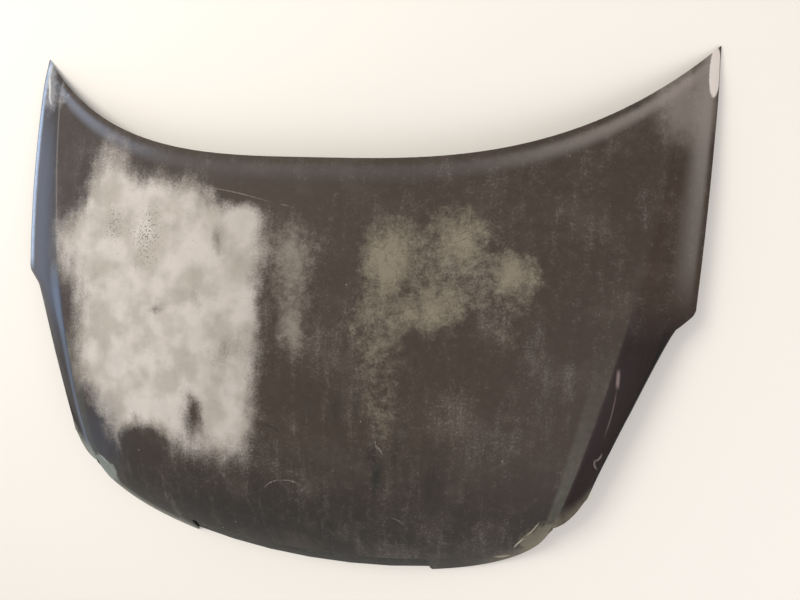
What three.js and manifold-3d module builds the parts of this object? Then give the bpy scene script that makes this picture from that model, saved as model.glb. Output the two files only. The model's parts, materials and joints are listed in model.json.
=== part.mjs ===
import * as THREE from 'three';
import Module from 'manifold-3d';

const wasm = await Module();
wasm.setup();

// A steel car bonnet lying skin up on its two rear tips and its nose. X runs
// across, Y to the windscreen, Z up. All sizes are millimetres.

// Outline of the right half in plan.
const tipX = 710;
const tipY = 530;
const rearMidY = 285;
const rearBow = 2.9;
const stepX = 689;
const stepY = 44;
const notchX = 661;
const notchY = 18;
const sideBendX = 649;
const sideBendY = 24;
const sideEndX = 527;
const sideEndY = -296;
const cornerX = 505;
const cornerY = -350;
const noseY = -524;
const noseFlatX = 212;
const noseTurnX = 445;
const noseTurnY = -485;
const creaseRearX = 644;
const creaseMidX = 568;
const creaseMidY = 20;
const creaseFrontX = 473;
const creaseFrontY = -362;
const recessHalf = 257;
const recessEase = 12;
const recessGap = 1.4;

// Shares of the length, from the rear edge at 0 to the front edge at 1.
const stepShare = 0.5;
const notchShare = 0.53;
const noseShare = 0.73;
const recessShare = 0.94;
const creaseShare = 0.6;
const flankRoundShare = 0.45;
const flankFlatShare = 0.75;
const rearRollShare = 0.09;

// Crown of the panel, the rolled nose and the turned edges.
const crownZ = 128;
const crownY = 14;
const lengthRadius = 3010;
const widthRadius = 2975;
const noseDrop = 86;
const noseCornerDrop = 14;
const nosePower = 2.6;
const flankMidDrop = 15;
const flankFrontDrop = 12;
const rearRollDrop = 5;
const bandWidth = 56;
const bandDrop = 6;
const bandStart = 4;

// Sheet, hem and the clearances between touching pieces.
const skinSheet = 0.8;
const frameSheet = 0.7;
const clearance = 0.3;
const hemGap = 0.5;
const hemWidth = 8;
const hemTip = 0.6;
const hemClear = 8;
const hemRelief = 45;
const frameInset = 5;
const masticGap = 3.3;

// Pressed ribs of the inner frame.
const ringShareX = 0.77;
const ringRear = 0.115;
const ringFront = 0.855;
const ringCorner = 180;
const ringTop = 43;
const ringFloor = 31;
const ringDepth = 26;
const ribTop = 30;
const ribFloor = 18;
const ribDepth = 20;
const ribBrim = 17;
const ribRearX = 300;
const ribFrontX = 112;
const crossY = -60;
const cutAbove = 2.5;
const windowCorner = 34;
const ringBrim = 16;
const seatMargin = 5;
const seatPlay = 1;

// Hinge seats.
const hingeShare = 0.22;
const hingeSeatLong = 96;
const hingeSeatWide = 46;
const hingeHoleEdge = 20;
const hingePlateSheet = 2;
const holeSize = 9;
const nutAcross = 13;
const nutHeight = 7;

// Striker.
const strikerSeatLong = 116;
const strikerSeatWide = 44;
const strikerPlateEdge = 12;
const strikerPlateWide = 34;
const strikerPlateSheet = 3;
const strikerHoleEdge = 11;
const strikerWire = 8;
const strikerSpan = 34;
const strikerReach = 27;
const boltSize = 8;
const boltHeadHeight = 5.5;

// Rubber stops and the seat of the stay.
const stopSeat = 44;
const stopHead = 24;
const stopHeight = 16;
const stopStem = 8;
const stopRound = 3;
const stopLip = 1.5;
const snapLength = 5;
const stopFrontShare = 0.74;
const stopRearShare = 0.42;
const stayShare = 0.6;
const staySeat = 40;
const stayBore = 10;
const stayWall = 2.5;
const stayFlange = 22;
const stayFlangeSheet = 2;
const stayLip = 1;

// Mastic pads.
const masticLong = 26;
const masticWide = 10;
const padsInBay = 2;

const sheetSteel = { roughness: 0.6, metalness: 0.1 };
const paintedSkin = new THREE.MeshStandardMaterial({ color: 0x4a4340, ...sheetSteel });
const paintedFrame = new THREE.MeshStandardMaterial({ color: 0x262a28, ...sheetSteel });
const platedSteel = new THREE.MeshStandardMaterial({ color: 0x9a9788, roughness: 0.4, metalness: 0.9 });
const rubber = new THREE.MeshStandardMaterial({ color: 0x1b1b1b, roughness: 0.9, metalness: 0 });
const mastic = new THREE.MeshStandardMaterial({ color: 0x3a3836, roughness: 0.95, metalness: 0 });
const plastic = new THREE.MeshStandardMaterial({ color: 0xd8d4c4, roughness: 0.5, metalness: 0 });

const clamp = THREE.MathUtils.clamp;
const lerp = THREE.MathUtils.lerp;
const plan = (x, y) => new THREE.Vector2(x, y);

// Plan curves of the right half.
const noseEdge = new THREE.CubicBezierCurve(
  plan(0, noseY), plan(noseFlatX, noseY), plan(noseTurnX, noseTurnY), plan(creaseFrontX, creaseFrontY));
const lowerSide = new THREE.QuadraticBezierCurve(
  plan(notchX, notchY), plan(sideBendX, sideBendY), plan(sideEndX, sideEndY));
const roundCorner = new THREE.QuadraticBezierCurve(
  plan(creaseFrontX, creaseFrontY), plan(cornerX, cornerY), plan(sideEndX, sideEndY));

function rearEdge(x) {
  return plan(x, rearMidY + (tipY - rearMidY) * (Math.abs(x) / tipX) ** rearBow);
}

// The crease passes through its middle point half-way along the panel.
const creaseStart = rearEdge(creaseRearX);
const creaseBend = plan(
  2 * creaseMidX - (creaseStart.x + creaseFrontX) / 2,
  2 * creaseMidY - (creaseStart.y + creaseFrontY) / 2);
const crease = new THREE.QuadraticBezierCurve(creaseStart, creaseBend, plan(creaseFrontX, creaseFrontY));

function sideEdge(v) {
  if (v <= stepShare) {
    return plan(tipX, tipY).lerp(plan(stepX, stepY), v / stepShare);
  }
  if (v <= notchShare) {
    return plan(stepX, stepY).lerp(plan(notchX, notchY), (v - stepShare) / (notchShare - stepShare));
  }
  return lowerSide.getPoint((v - notchShare) / (1 - notchShare));
}

// A four-sided patch is spanned between its edges.
function patch(across, along, first, last, start, end) {
  const corner00 = start(0);
  const corner10 = start(1);
  const corner01 = end(0);
  const corner11 = end(1);
  const blend = (key) => lerp(first(along)[key], last(along)[key], across)
    + lerp(start(across)[key], end(across)[key], along)
    - lerp(lerp(corner00[key], corner10[key], across), lerp(corner01[key], corner11[key], across), along);
  return plan(blend('x'), blend('y'));
}

const middleLine = (v) => plan(0, lerp(rearMidY, noseY, v));

// Across the panel, 0 is its middle, 1 the crease and 2 the side edge.
function planPoint(across, v) {
  if (across <= 1) {
    return patch(across, v, middleLine, (t) => crease.getPoint(t),
      (s) => rearEdge(s * creaseRearX), (s) => noseEdge.getPoint(s));
  }
  return patch(across - 1, v, (t) => crease.getPoint(t), sideEdge,
    (q) => rearEdge(lerp(creaseRearX, tipX, q)),
    (q) => roundCorner.getPoint(q));
}

// Share of the width where the narrow band beside the crease begins.
function bandEdge(v) {
  const grown = clamp((v - creaseShare) / (1 - creaseShare), 0, 1);
  return 1 - lerp(bandStart, bandWidth, grown) / crease.getPoint(v).x;
}

// The flank is rounded beside the rear of the crease and flat from there on.
function flankTurn(across, v) {
  const flat = clamp((v - flankRoundShare) / (flankFlatShare - flankRoundShare), 0, 1);
  return (across - 1) ** (2 - flat);
}

function skinPoint(side, across, v) {
  const p = planPoint(across, v);
  const crown = crownZ - (p.y - crownY) ** 2 / (2 * lengthRadius) - p.x ** 2 / (2 * widthRadius);
  const rearRoll = rearRollDrop * Math.max(0, 1 - v / rearRollShare) ** 2;
  const noseRoll = Math.max(0, (v - noseShare) / (1 - noseShare)) ** nosePower;
  const sharp = clamp((v - creaseShare) / (1 - creaseShare), 0, 1);
  let drop;
  if (across <= 1) {
    const fade = 1 - across ** 3;
    const edge = bandEdge(v);
    drop = lerp(noseCornerDrop, noseDrop, fade) * noseRoll
      + sharp * bandDrop * Math.max(0, (across - edge) / (1 - edge));
  } else {
    const flank = v < stepShare
      ? flankMidDrop * v / stepShare
      : lerp(flankMidDrop, flankFrontDrop, (v - stepShare) / (1 - stepShare));
    drop = lerp(noseCornerDrop * noseRoll + sharp * bandDrop, flank, flankTurn(across, v));
  }
  return new THREE.Vector3(side * p.x, p.y, crown - rearRoll - drop);
}

function skinNormal(side, across, v) {
  const step = 0.004;
  const right = skinPoint(side, Math.min(across + step, 2), v);
  const left = across < step ? skinPoint(-side, step - across, v) : skinPoint(side, across - step, v);
  const front = skinPoint(side, across, Math.min(v + step, 1));
  const rear = skinPoint(side, across, Math.max(v - step, 0));
  const normal = right.sub(left).cross(rear.sub(front)).multiplyScalar(side);
  return normal.normalize();
}

// Place on the main field of the skin that lies over a point of the plan.
function locate(x, y) {
  const side = x < 0 ? -1 : 1;
  const target = plan(Math.abs(x), y);
  let across = clamp(target.x / creaseMidX, 0, 1);
  let v = clamp((rearMidY - y) / (rearMidY - noseY), 0, 1);
  const step = 0.001;
  for (let round = 0; round < 12; round += 1) {
    const here = planPoint(across, v);
    const du = planPoint(across + step, v).sub(here).divideScalar(step);
    const dv = planPoint(across, v + step).sub(here).divideScalar(step);
    const miss = target.clone().sub(here);
    const area = du.x * dv.y - du.y * dv.x;
    across = clamp(across + (miss.x * dv.y - miss.y * dv.x) / area, 0, 0.999);
    v = clamp(v + (du.x * miss.y - du.y * miss.x) / area, 0, 0.999);
  }
  return { side, across, v };
}

function under(x, y, depth) {
  const place = locate(x, y);
  const point = skinPoint(place.side, place.across, place.v);
  return point.addScaledVector(skinNormal(place.side, place.across, place.v), -depth);
}

// Closed bodies.
function signedVolume(points, faces) {
  let sum = 0;
  for (const [a, b, c] of faces) {
    sum += points[a].dot(points[b].clone().cross(points[c]));
  }
  return sum / 6;
}

function bodyFrom(points, faces) {
  const turned = signedVolume(points, faces) < 0 ? faces.map(([a, b, c]) => [a, c, b]) : faces;
  const vertProperties = new Float32Array(points.flatMap((p) => [p.x, p.y, p.z]));
  const triVerts = new Uint32Array(turned.flat());
  return new wasm.Manifold(new wasm.Mesh({ numProp: 3, vertProperties, triVerts }));
}

function bodyFromGeometry(geometry) {
  const position = geometry.getAttribute('position');
  const seen = new Map();
  const points = [];
  const slots = [];
  for (let i = 0; i < position.count; i += 1) {
    const p = new THREE.Vector3().fromBufferAttribute(position, i);
    const key = [p.x, p.y, p.z].map((value) => Math.round(value * 1e4)).join(' ');
    if (!seen.has(key)) {
      seen.set(key, points.length);
      points.push(p);
    }
    slots.push(seen.get(key));
  }
  const order = geometry.index ? Array.from(geometry.index.array) : slots.map((_, i) => i);
  const faces = [];
  for (let i = 0; i < order.length; i += 3) {
    const face = [slots[order[i]], slots[order[i + 1]], slots[order[i + 2]]];
    if (new Set(face).size === 3) {
      faces.push(face);
    }
  }
  return bodyFrom(points, faces);
}

// A body lofted through sections of equal count, closed on itself or capped.
function loft(sections, closed) {
  const count = sections[0].length;
  const faces = [];
  const last = closed ? sections.length : sections.length - 1;
  for (let i = 0; i < last; i += 1) {
    const next = (i + 1) % sections.length;
    for (let j = 0; j < count; j += 1) {
      const a = i * count + j;
      const b = i * count + (j + 1) % count;
      const c = next * count + (j + 1) % count;
      const d = next * count + j;
      faces.push([a, b, c], [a, c, d]);
    }
  }
  if (!closed) {
    const end = (sections.length - 1) * count;
    for (let j = 1; j < count - 1; j += 1) {
      faces.push([0, j + 1, j], [end, end + j, end + j + 1]);
    }
  }
  return bodyFrom(sections.flat(), faces);
}

// Grid lines that the skin and the frame below it share.
const spread = (from, to, cells) => Array.from({ length: cells }, (_, i) => lerp(from, to, (i + 1) / cells));

function noseShareAt(x) {
  let low = 0;
  let high = 1;
  for (let i = 0; i < 40; i += 1) {
    const middle = (low + high) / 2;
    if (noseEdge.getPoint(middle).x < x) {
      low = middle;
    } else {
      high = middle;
    }
  }
  return low;
}

const recessColumn = 3;
const recessRows = 2;
const recessAt = noseShareAt(recessHalf);
const easeAt = noseShareAt(recessHalf + recessEase);
const fieldColumns = [0, ...spread(0, recessAt, recessColumn), easeAt];
const easeColumn = recessColumn + 1;
const outerColumns = 5;
const flankColumns = [1, ...spread(1, 2, 3)];
const rows = [0, ...spread(0, rearRollShare, 3), ...spread(rearRollShare, stepShare, 5), notchShare,
  ...spread(notchShare, noseShare, 3), ...spread(noseShare, recessShare, 7),
  ...spread(recessShare, 1, recessRows)];
const halfCount = easeColumn + outerColumns + flankColumns.length;
const columnCount = 2 * halfCount + 1;
const lastRow = rows.length - 1;
const recessRow = lastRow - recessRows;

// Across-share of a column, which follows the band beside the crease.
function columnShare(column, v) {
  if (column <= easeColumn) {
    return fieldColumns[column];
  }
  const outward = column - easeColumn;
  if (outward <= outerColumns) {
    return lerp(easeAt, bandEdge(v), outward / outerColumns);
  }
  return flankColumns[outward - outerColumns - 1];
}

const grid = [];
for (let i = 0; i < columnCount; i += 1) {
  const column = i - halfCount;
  const side = column < 0 ? -1 : 1;
  grid.push(rows.map((v) => {
    const across = columnShare(Math.abs(column), v);
    return { point: skinPoint(side, across, v), normal: skinNormal(side, across, v) };
  }));
}

const leftNotch = halfCount - recessColumn;
const rightNotch = halfCount + recessColumn;

// Rim of the sheet, anticlockwise from above, with or without the nose recess.
function rimPlaces(recessed) {
  const rim = [];
  for (let j = 0; j < lastRow; j += 1) {
    rim.push([0, j]);
  }
  for (let i = 0; i < columnCount - 1; i += 1) {
    const inside = recessed && i > leftNotch && i < rightNotch;
    for (let j = recessRow; recessed && i === rightNotch && j < lastRow; j += 1) {
      rim.push([i, j]);
    }
    rim.push([i, inside ? recessRow : lastRow]);
    for (let j = lastRow - 1; recessed && i === leftNotch && j >= recessRow; j -= 1) {
      rim.push([i, j]);
    }
  }
  for (let j = lastRow; j > 0; j -= 1) {
    rim.push([columnCount - 1, j]);
  }
  for (let i = columnCount - 1; i > 0; i -= 1) {
    rim.push([i, 0]);
  }
  return rim;
}

// The grid point beside a rim point that lies most squarely inside the sheet.
function insidePlace([i, j], inside) {
  let best = null;
  let bestFit = -1;
  for (const [di, dj] of [[1, 0], [-1, 0], [0, 1], [0, -1], [1, 1], [1, -1], [-1, 1], [-1, -1]]) {
    const near = grid[i + di]?.[j + dj];
    if (near) {
      const fit = near.point.clone().sub(grid[i][j].point).normalize().dot(inside);
      if (fit > bestFit) {
        best = near.point;
        bestFit = fit;
      }
    }
  }
  return best;
}

function rimFrames(rim) {
  const at = (k) => grid[rim[k % rim.length][0]][rim[k % rim.length][1]];
  const creaseColumn = flankColumns.length - 1;
  const right = columnCount - 1;
  const cornerPlaces = new Set([
    [0, 0], [0, lastRow], [creaseColumn, lastRow],
    [right, 0], [right, lastRow], [right - creaseColumn, lastRow],
    [leftNotch, lastRow], [leftNotch, recessRow], [rightNotch, lastRow], [rightNotch, recessRow],
  ].map(String));
  const corners = rim.filter((place) => cornerPlaces.has(String(place))).map(([i, j]) => grid[i][j].point);
  return rim.map((place, k) => {
    const here = at(k);
    const before = here.point.clone().sub(at(k + rim.length - 1).point).normalize();
    const after = at(k + 1).point.clone().sub(here.point).normalize();
    const along = before.add(after).normalize();
    const inside = here.normal.clone().cross(along);
    const neighbour = insidePlace(place, inside);
    const inward = neighbour.clone().sub(here.point).projectOnPlane(along).normalize();
    const away = Math.min(...corners.map((corner) => corner.distanceTo(here.point)));
    return { point: here.point, normal: along.cross(inward).normalize(), inward, away };
  });
}

// A sheet over the shared grid: its two faces and the rows that close its rim.
function sheetBody(rim, kept, rimRows, topOf, bottomOf) {
  const points = [];
  const faces = [];
  const top = grid.map((line, i) => line.map((_, j) => points.push(topOf(i, j)) - 1));
  const bottom = grid.map((line, i) => line.map((_, j) => points.push(bottomOf(i, j)) - 1));
  const middle = rimRows.map((row) => row.map((point) => points.push(point) - 1));
  for (let i = 0; i < columnCount - 1; i += 1) {
    for (let j = 0; j < lastRow; j += 1) {
      if (kept(i, j)) {
        const turn = i < halfCount ? 1 : 0;
        const cell = [[i, j], [i, j + 1], [i + 1, j + 1], [i + 1, j]];
        const [a, b, c, d] = [0, 1, 2, 3].map((n) => cell[(n + turn) % 4]);
        for (const [p, q, r] of [[a, b, c], [a, c, d]]) {
          faces.push([top[p[0]][p[1]], top[q[0]][q[1]], top[r[0]][r[1]]]);
          faces.push([bottom[p[0]][p[1]], bottom[r[0]][r[1]], bottom[q[0]][q[1]]]);
        }
      }
    }
  }
  const loops = [rim.map(([i, j]) => top[i][j]), ...middle, rim.map(([i, j]) => bottom[i][j])];
  for (let row = 0; row < loops.length - 1; row += 1) {
    for (let k = 0; k < rim.length; k += 1) {
      const next = (k + 1) % rim.length;
      const turn = rim[k][0] < halfCount ? 1 : 0;
      const cell = [loops[row][next], loops[row][k], loops[row + 1][k], loops[row + 1][next]];
      const [a, b, c, d] = [0, 1, 2, 3].map((n) => cell[(n + turn) % 4]);
      faces.push([a, b, c], [a, c, d]);
    }
  }
  const used = [...new Set(faces.flat())];
  const slot = new Map(used.map((index, position) => [index, position]));
  const numbered = faces.map((face) => face.map((index) => slot.get(index)));
  return bodyFrom(used.map((index) => points[index]), numbered);
}

// The outer skin, with its hem folded round the edge of the frame.
const foldRadius = skinSheet + hemGap + frameSheet / 2;
const foldInside = foldRadius - skinSheet;

function outerSkin() {
  const rim = rimPlaces(true);
  const frames = rimFrames(rim);
  const slotOf = new Map(rim.map((place, k) => [String(place), k]));
  const foldCentre = ({ point, inward, normal }) => point.clone()
    .addScaledVector(inward, foldRadius).addScaledVector(normal, -foldRadius);
  const onFold = (frame, radius, angle) => foldCentre(frame)
    .addScaledVector(frame.inward, -radius * Math.cos(angle))
    .addScaledVector(frame.normal, radius * Math.sin(angle));
  const hemReach = (frame) => lerp(hemTip, hemWidth, clamp((frame.away - hemClear) / hemRelief, 0, 1));
  const hemEnd = (frame, radius) => onFold(frame, radius, -Math.PI / 2)
    .addScaledVector(frame.inward, hemReach(frame));
  const foldAngles = [Math.PI / 6, -Math.PI / 6, -Math.PI / 2];
  const rimRows = foldAngles.map((angle) => frames.map((f) => onFold(f, foldRadius, angle)));
  rimRows.push(frames.map((f) => hemEnd(f, foldRadius)));
  rimRows.push(frames.map((f) => hemEnd(f, foldInside)));
  rimRows.push(...[-Math.PI / 2, 0].map((angle) => frames.map((f) => onFold(f, foldInside, angle))));
  const face = (depth) => (i, j) => {
    const k = slotOf.get(String([i, j]));
    if (k !== undefined) {
      return onFold(frames[k], foldRadius - depth, Math.PI / 2);
    }
    return grid[i][j].point.clone().addScaledVector(grid[i][j].normal, -depth);
  };
  const kept = (i, j) => j < recessRow || i < leftNotch || i >= rightNotch;
  return sheetBody(rim, kept, rimRows, face(0), face(skinSheet));
}

// Flat field of the inner frame: in the hem at its rim, under the hem in the
// recess, and a mastic gap below the skin elsewhere.
const hemDepth = skinSheet + hemGap;
const recessDepth = 2 * foldRadius + recessGap;
const fieldDepth = skinSheet + masticGap;

function frameField() {
  const rim = rimPlaces(false);
  const frames = rimFrames(rim);
  const slotOf = new Map(rim.map((place, k) => [String(place), k]));
  const face = (extra) => (i, j) => {
    const k = slotOf.get(String([i, j]));
    const fromRim = Math.min(i, j, columnCount - 1 - i, lastRow - j);
    const beside = j < lastRow ? 1 : 0;
    const inRecess = i >= leftNotch - beside && i <= rightNotch + beside && j >= recessRow;
    let depth = fromRim <= 1 ? hemDepth : fieldDepth;
    if (inRecess) {
      depth = recessDepth;
    }
    if (k !== undefined) {
      const { point, inward, normal } = frames[k];
      return point.clone().addScaledVector(inward, frameInset).addScaledVector(normal, -depth - extra);
    }
    return grid[i][j].point.clone().addScaledVector(grid[i][j].normal, -depth - extra);
  };
  return sheetBody(rim, () => true, [], face(0), face(frameSheet));
}

// One section of a pressed rib: wide at the field, narrow at its floor.
function ribSection(x, y, direction, top, floor, topDepth, floorDepth) {
  const across = plan(-direction.y, direction.x).normalize();
  return [[-top, topDepth], [0, topDepth], [top, topDepth], [floor, floorDepth], [-floor, floorDepth]]
    .map(([offset, depth]) => under(x + across.x * offset, y + across.y * offset, depth));
}

// A rib as the press forms it, and the hollow that is taken out of it.
function ribPair(path, closed, top, floor, depth) {
  const slope = (top - floor) / (depth - fieldDepth);
  const wall = frameSheet * Math.hypot(1, slope);
  const along = (i) => {
    const ahead = closed ? path[(i + 1) % path.length] : path[Math.min(i + 1, path.length - 1)];
    const behind = closed ? path[(i + path.length - 1) % path.length] : path[Math.max(i - 1, 0)];
    return ahead.clone().sub(behind);
  };
  const sections = (topHalf, floorHalf, topDepth, floorDepth) => path.map(
    (p, i) => ribSection(p.x, p.y, along(i), topHalf, floorHalf, topDepth, floorDepth));
  const innerTop = top + slope * cutAbove - wall;
  const innerFloor = floor + slope * frameSheet - wall;
  return {
    outside: loft(sections(top, floor, fieldDepth + frameSheet / 2, depth), closed),
    inside: loft(sections(innerTop, innerFloor, fieldDepth - cutAbove, depth - frameSheet), closed),
  };
}

// Ring rib: a rounded loop in shares of the panel, taken to the plan.
function ringPath() {
  const long = rearMidY - noseY;
  const wide = creaseMidX * ringShareX;
  const rearLine = ringRear * long;
  const frontLine = ringFront * long;
  const loop = new THREE.Path();
  loop.moveTo(0, rearLine);
  loop.lineTo(wide - ringCorner, rearLine);
  loop.quadraticCurveTo(wide, rearLine, wide, rearLine + ringCorner);
  loop.lineTo(wide, frontLine - ringCorner);
  loop.quadraticCurveTo(wide, frontLine, wide - ringCorner, frontLine);
  loop.lineTo(-wide + ringCorner, frontLine);
  loop.quadraticCurveTo(-wide, frontLine, -wide, frontLine - ringCorner);
  loop.lineTo(-wide, rearLine + ringCorner);
  loop.quadraticCurveTo(-wide, rearLine, -wide + ringCorner, rearLine);
  loop.lineTo(0, rearLine);
  const stations = 60;
  return loop.getSpacedPoints(stations).slice(0, stations).map((p) => {
    const point = planPoint(Math.abs(p.x) / creaseMidX, p.y / long);
    return plan(Math.sign(p.x) * point.x, point.y);
  });
}

function straight(from, to, cells) {
  return Array.from({ length: cells + 1 }, (_, i) => from.clone().lerp(to, i / cells));
}

// Flat seats pressed below the ring floor. The seat's level clears its slope.
function seatAt(across, v, side, sizeX, sizeY) {
  const { x, y } = skinPoint(side, across, v).addScaledVector(skinNormal(side, across, v), -ringDepth);
  const corners = [[-1, -1], [-1, 1], [1, -1], [1, 1]].map(([i, j]) =>
    under(x + i * sizeX / 2, y + j * sizeY / 2, ringDepth).z);
  const level = Math.min(...corners) - seatMargin;
  return { x, y, sizeX, sizeY, level, top: Math.max(...corners) };
}

function boxBody(x, y, low, high, sizeX, sizeY) {
  const geometry = new THREE.BoxGeometry(sizeX, sizeY, high - low);
  geometry.translate(x, y, (low + high) / 2);
  return bodyFromGeometry(geometry);
}

function seatPair(seat) {
  const { x, y, sizeX, sizeY, level, top } = seat;
  const walls = 2 * frameSheet;
  return {
    outside: boxBody(x, y, level, top + frameSheet, sizeX, sizeY),
    inside: boxBody(x, y, level + frameSheet, top + walls, sizeX - walls, sizeY - walls),
  };
}

const sides = [['left', -1], ['right', 1]];
const hingeSeats = sides.map(([name, side]) => ({ name, side,
  ...seatAt(ringShareX, hingeShare, side, hingeSeatWide, hingeSeatLong) }));
const strikerSeat = seatAt(0, ringFront, 1, strikerSeatLong, strikerSeatWide);
const stopSeats = sides.flatMap(([name, side]) => [
  { name: `front_${name}`, ...seatAt(ringShareX, stopFrontShare, side, stopSeat, stopSeat) },
  { name: `rear_${name}`, ...seatAt(ringShareX, stopRearShare, side, stopSeat, stopSeat) }]);
const staySeatPlace = seatAt(ringShareX, stayShare, -1, staySeat, staySeat);

function drill(x, y, level, size) {
  const length = 12;
  const geometry = new THREE.CylinderGeometry(size / 2, size / 2, length, 12);
  geometry.rotateX(Math.PI / 2);
  geometry.translate(x, y, level);
  return bodyFromGeometry(geometry);
}

// Windows between the ribs, cut through the field of the frame.
function windowCut(corners) {
  const shape = new THREE.Shape();
  corners.forEach((corner, i) => {
    const before = corners[(i + corners.length - 1) % corners.length];
    const after = corners[(i + 1) % corners.length];
    const enter = corner.clone().add(before.clone().sub(corner).setLength(windowCorner));
    const leave = corner.clone().add(after.clone().sub(corner).setLength(windowCorner));
    if (i === 0) {
      shape.moveTo(enter.x, enter.y);
    } else {
      shape.lineTo(enter.x, enter.y);
    }
    shape.quadraticCurveTo(corner.x, corner.y, leave.x, leave.y);
  });
  shape.closePath();
  const settings = { depth: crownZ * 2, bevelEnabled: false, curveSegments: 4 };
  const geometry = new THREE.ExtrudeGeometry(shape, settings);
  geometry.translate(0, 0, -crownZ / 2);
  return bodyFromGeometry(geometry);
}

// Middle line of the ring: its height at a place across, its side at a height.
const ringLineY = (x, v) => planPoint(x / creaseMidX, v).y;
const ringLineX = (y) => planPoint(ringShareX, (rearMidY - y) / (rearMidY - noseY)).x;

// The two long ribs run from the rear of the ring to its front.
const ribRear = plan(ribRearX, ringLineY(ribRearX, ringRear));
const ribFront = plan(ribFrontX, ringLineY(ribFrontX, ringFront));
const ribX = (y) => lerp(ribRear.x, ribFront.x, (ribRear.y - y) / (ribRear.y - ribFront.y));
const ringReach = ringTop + ringBrim;
const ribReach = ribTop + ribBrim;
const rearWindowY = (x) => ringLineY(x, ringRear) - ringReach;
const frontWindowY = (x) => ringLineY(x, ringFront) + ringReach;
const crossRear = crossY + ribReach;
const crossFront = crossY - ribReach;

// Each bay between the ribs has a window. The ring's round corner takes a
// quarter of its size off the outer corners.
function windowCorners() {
  const cornerEase = ringCorner / 4;
  const inner = (y) => plan(ribX(y) - ribReach, y);
  const outer = (y) => plan(ribX(y) + ribReach, y);
  const beside = (y) => plan(ringLineX(y) - ringReach, y);
  const rearMiddle = rearWindowY(0);
  const frontMiddle = frontWindowY(0);
  const sideX = ringLineX(crossY) - ringReach;
  const rearSide = rearWindowY(sideX) - cornerEase;
  const frontSide = frontWindowY(sideX) + cornerEase / 2;
  const half = [
    [inner(rearMiddle), inner(crossRear)],
    [inner(crossFront), inner(frontMiddle)],
  ];
  const middle = half.map(([rear, front]) => [plan(-rear.x, rear.y), rear, front, plan(-front.x, front.y)]);
  const right = [
    [outer(rearWindowY(ribRear.x)), beside(rearSide), beside(crossRear), outer(crossRear)],
    [outer(crossFront), beside(crossFront), beside(frontSide), outer(frontWindowY(ribFront.x + ribReach))],
  ];
  const left = right.map((corners) => corners.map((corner) => plan(-corner.x, corner.y)).reverse());
  return [...middle, ...right, ...left];
}

function innerFrame() {
  const crossEnd = plan(ringLineX(crossY), crossY);
  const crossCells = 14;
  const ribCells = 11;
  const pressedRib = (path) => ribPair(path, false, ribTop, ribFloor, ribDepth);
  const turnedOver = (point, side) => plan(side * point.x, point.y);
  const ribs = [
    ribPair(ringPath(), true, ringTop, ringFloor, ringDepth),
    pressedRib(straight(turnedOver(crossEnd, -1), crossEnd, crossCells)),
    ...[-1, 1].map((side) => pressedRib(
      straight(turnedOver(ribRear, side), turnedOver(ribFront, side), ribCells))),
  ];
  const seats = [...hingeSeats, strikerSeat, ...stopSeats, staySeatPlace].map(seatPair);
  let frame = frameField();
  for (const corners of windowCorners()) {
    frame = frame.subtract(windowCut(corners));
  }
  for (const { outside } of [...ribs, ...seats]) {
    frame = frame.add(outside);
  }
  for (const { inside } of [...ribs, ...seats]) {
    frame = frame.subtract(inside);
  }
  for (const [x, y, level, size] of frameHoles()) {
    frame = frame.subtract(drill(x, y, level, size));
  }
  return frame;
}

const strikerPlateLong = strikerSeatLong - 2 * strikerPlateEdge;
const hingeBoltAway = hingeSeatLong / 2 - hingeHoleEdge;
const strikerBoltAway = strikerPlateLong / 2 - strikerHoleEdge;
const hingeBolts = (seat) => [-1, 1].map((i) => plan(seat.x, seat.y + i * hingeBoltAway));
const strikerBolts = [-1, 1].map((i) => plan(strikerSeat.x + i * strikerBoltAway, strikerSeat.y));

function frameHoles() {
  return [
    ...hingeSeats.flatMap((seat) => hingeBolts(seat).map((p) => [p.x, p.y, seat.level, holeSize])),
    ...strikerBolts.map((p) => [p.x, p.y, strikerSeat.level, holeSize]),
    ...stopSeats.map((seat) => [seat.x, seat.y, seat.level, stopStem + 2 * clearance]),
    [staySeatPlace.x, staySeatPlace.y, staySeatPlace.level, stayBore + 2 * (stayWall + clearance)]];
}

// Plates, nuts and bolts.
function drilledPlate(x, y, low, high, sizeX, sizeY, holes) {
  let plate = boxBody(x, y, low, high, sizeX, sizeY);
  for (const hole of holes) {
    plate = plate.subtract(drill(hole.x, hole.y, (low + high) / 2, holeSize));
  }
  return plate;
}

function turned(profile, segments) {
  const geometry = new THREE.LatheGeometry(profile.map(([r, z]) => plan(r, z)), segments);
  geometry.rotateX(Math.PI / 2);
  return geometry;
}

function nutBody(x, y, low) {
  const bore = (boltSize / 2 + clearance) / Math.cos(Math.PI / 6);
  const corner = nutAcross / Math.sqrt(3);
  const geometry = turned([[bore, 0], [corner, 0], [corner, nutHeight], [bore, nutHeight], [bore, 0]], 6);
  geometry.translate(x, y, low);
  return bodyFromGeometry(geometry);
}

function boltBody(x, y, seatLevel, length) {
  const head = nutAcross / Math.sqrt(3);
  const geometry = turned([[0, -boltHeadHeight], [head, -boltHeadHeight], [head, 0],
    [boltSize / 2, 0], [boltSize / 2, length], [0, length]], 12);
  geometry.translate(x, y, seatLevel);
  return bodyFromGeometry(geometry);
}

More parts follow.
